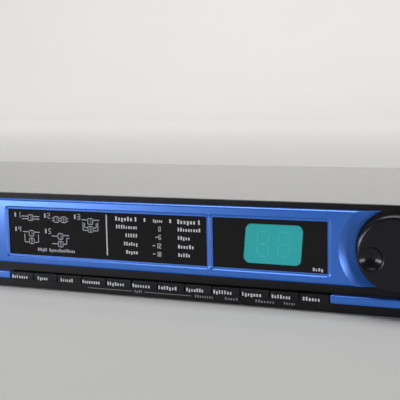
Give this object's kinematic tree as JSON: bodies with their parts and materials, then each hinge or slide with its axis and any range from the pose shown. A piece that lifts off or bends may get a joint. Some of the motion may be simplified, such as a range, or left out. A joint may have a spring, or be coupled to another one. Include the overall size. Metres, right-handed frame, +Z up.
{
  "type": "rack effects unit",
  "caption": "One-unit rack effects processor with blue bezel, dark windows, green display, push keys, data wheel, level knobs and rear connectors.",
  "frame": {"origin": "bottom centre of the whole unit, on the surface that it stands on", "axes": "+X along the panel to the right as seen from the front, +Y to the back, +Z up"},
  "size_m": [0.4826, 0.186, 0.0437],
  "materials": {
    "panel_black": "fine textured black paint",
    "chassis_black": "satin black paint",
    "bezel_blue": "satin metallic blue lacquer",
    "window_black": "smoked glossy window with pale print",
    "display_green": "translucent teal window",
    "display_body": "moulded",
    "lamp_clear": "clear moulded lamp",
    "lamp_red": "red moulded lamp",
    "board_green": "solder mask",
    "black_plastic": "moulded",
    "key_black": "satin moulded",
    "wheel_black": "satin moulded",
    "bright_steel": "zinc plated",
    "zinc_body": "die-cast",
    "nickel": "nickel plated",
    "chip_black": "moulded package",
    "capacitor_sleeve": "printed sleeve",
    "anodised_black": "black anodised",
    "core_steel": "laminated and varnished",
    "winding_tape": "yellow polyester tape",
    "contact_brass": "gold flashed",
    "screw_black": "black oxide",
    "header_ivory": "moulded",
    "ribbon_grey": "ribbed flat cable",
    "wire_red": "insulated wire"
  },
  "bodies": {
    "root": {"front_panel": "panel_black", "bezel_main": "bezel_blue", "bezel_right": "bezel_blue", "trim_strips": "bezel_blue", "lens_left": "window_black", "lens_right": "window_black", "display_filter": "display_green", "display_module": "display_body", "indicator_leds": "lamp_clear", "front_pcb": "board_green", "key_switches": "black_plastic", "encoder_body": "zinc_body", "pot_bodies": "zinc_body", "control_nuts": "nickel", "power_switch": "black_plastic", "power_led": "lamp_red", "chassis_tray": "chassis_black", "top_cover": "chassis_black", "rear_panel": "chassis_black", "main_pcb": "board_green", "ic_chips": "chip_black", "electrolytic_caps": "capacitor_sleeve", "heat_sink": "anodised_black", "regulators": "chip_black", "transformer_core": "core_steel", "transformer_winding": "winding_tape", "transformer_bracket": "bright_steel", "iec_inlet": "black_plastic", "iec_pins": "contact_brass", "audio_jacks": "black_plastic", "jack_nuts": "nickel", "rca_sockets": "contact_brass", "midi_sockets": "black_plastic", "standoffs": "contact_brass", "internal_screws": "bright_steel", "cover_screws": "screw_black", "board_headers": "header_ivory", "ribbon_cable": "ribbon_grey", "internal_wires": "wire_red"},
    "key_1": {"key_1": "key_black"},
    "key_2": {"key_2": "key_black"},
    "key_3": {"key_3": "key_black"},
    "key_4": {"key_4": "key_black"},
    "key_5": {"key_5": "key_black"},
    "key_6": {"key_6": "key_black"},
    "key_7": {"key_7": "key_black"},
    "key_8": {"key_8": "key_black"},
    "key_9": {"key_9": "key_black"},
    "key_10": {"key_10": "key_black"},
    "key_11": {"key_11": "key_black"},
    "key_12": {"key_12": "key_black"},
    "data_wheel": {"data_wheel": "wheel_black", "encoder_shaft": "bright_steel"},
    "level_knob_1": {"level_knob_1": "wheel_black", "pot_shaft_1": "bright_steel"},
    "level_knob_2": {"level_knob_2": "wheel_black", "pot_shaft_2": "bright_steel"},
    "level_knob_3": {"level_knob_3": "wheel_black", "pot_shaft_3": "bright_steel"},
    "power_button": {"power_button": "key_black"}
  },
  "joints": [
    {"name": "key_1_press", "type": "slide", "parent": "root", "child": "key_1", "axis": [0, 1, 0], "range_m": [0, 0.0006], "stiffness_N_per_m": 400},
    {"name": "key_2_press", "type": "slide", "parent": "root", "child": "key_2", "axis": [0, 1, 0], "range_m": [0, 0.0006], "stiffness_N_per_m": 400},
    {"name": "key_3_press", "type": "slide", "parent": "root", "child": "key_3", "axis": [0, 1, 0], "range_m": [0, 0.0006], "stiffness_N_per_m": 400},
    {"name": "key_4_press", "type": "slide", "parent": "root", "child": "key_4", "axis": [0, 1, 0], "range_m": [0, 0.0006], "stiffness_N_per_m": 400},
    {"name": "key_5_press", "type": "slide", "parent": "root", "child": "key_5", "axis": [0, 1, 0], "range_m": [0, 0.0006], "stiffness_N_per_m": 400},
    {"name": "key_6_press", "type": "slide", "parent": "root", "child": "key_6", "axis": [0, 1, 0], "range_m": [0, 0.0006], "stiffness_N_per_m": 400},
    {"name": "key_7_press", "type": "slide", "parent": "root", "child": "key_7", "axis": [0, 1, 0], "range_m": [0, 0.0006], "stiffness_N_per_m": 400},
    {"name": "key_8_press", "type": "slide", "parent": "root", "child": "key_8", "axis": [0, 1, 0], "range_m": [0, 0.0006], "stiffness_N_per_m": 400},
    {"name": "key_9_press", "type": "slide", "parent": "root", "child": "key_9", "axis": [0, 1, 0], "range_m": [0, 0.0006], "stiffness_N_per_m": 400},
    {"name": "key_10_press", "type": "slide", "parent": "root", "child": "key_10", "axis": [0, 1, 0], "range_m": [0, 0.0006], "stiffness_N_per_m": 400},
    {"name": "key_11_press", "type": "slide", "parent": "root", "child": "key_11", "axis": [0, 1, 0], "range_m": [0, 0.0006], "stiffness_N_per_m": 400},
    {"name": "key_12_press", "type": "slide", "parent": "root", "child": "key_12", "axis": [0, 1, 0], "range_m": [0, 0.0006], "stiffness_N_per_m": 400},
    {"name": "data_wheel_spin", "type": "hinge", "parent": "root", "child": "data_wheel", "pos_m": [0.1276, -0.084, 0.0261], "axis": [0, -1, 0], "continuous": true},
    {"name": "level_knob_1_turn", "type": "hinge", "parent": "root", "child": "level_knob_1", "pos_m": [-0.19, -0.084, 0.0261], "axis": [0, -1, 0], "range_deg": [-150, 150]},
    {"name": "level_knob_2_turn", "type": "hinge", "parent": "root", "child": "level_knob_2", "pos_m": [-0.155, -0.084, 0.0261], "axis": [0, -1, 0], "range_deg": [-150, 150]},
    {"name": "level_knob_3_turn", "type": "hinge", "parent": "root", "child": "level_knob_3", "pos_m": [-0.12, -0.084, 0.0261], "axis": [0, -1, 0], "range_deg": [-150, 150]},
    {"name": "power_button_press", "type": "slide", "parent": "root", "child": "power_button", "axis": [0, 1, 0], "range_m": [0, 0.003], "stiffness_N_per_m": 600}
  ]
}
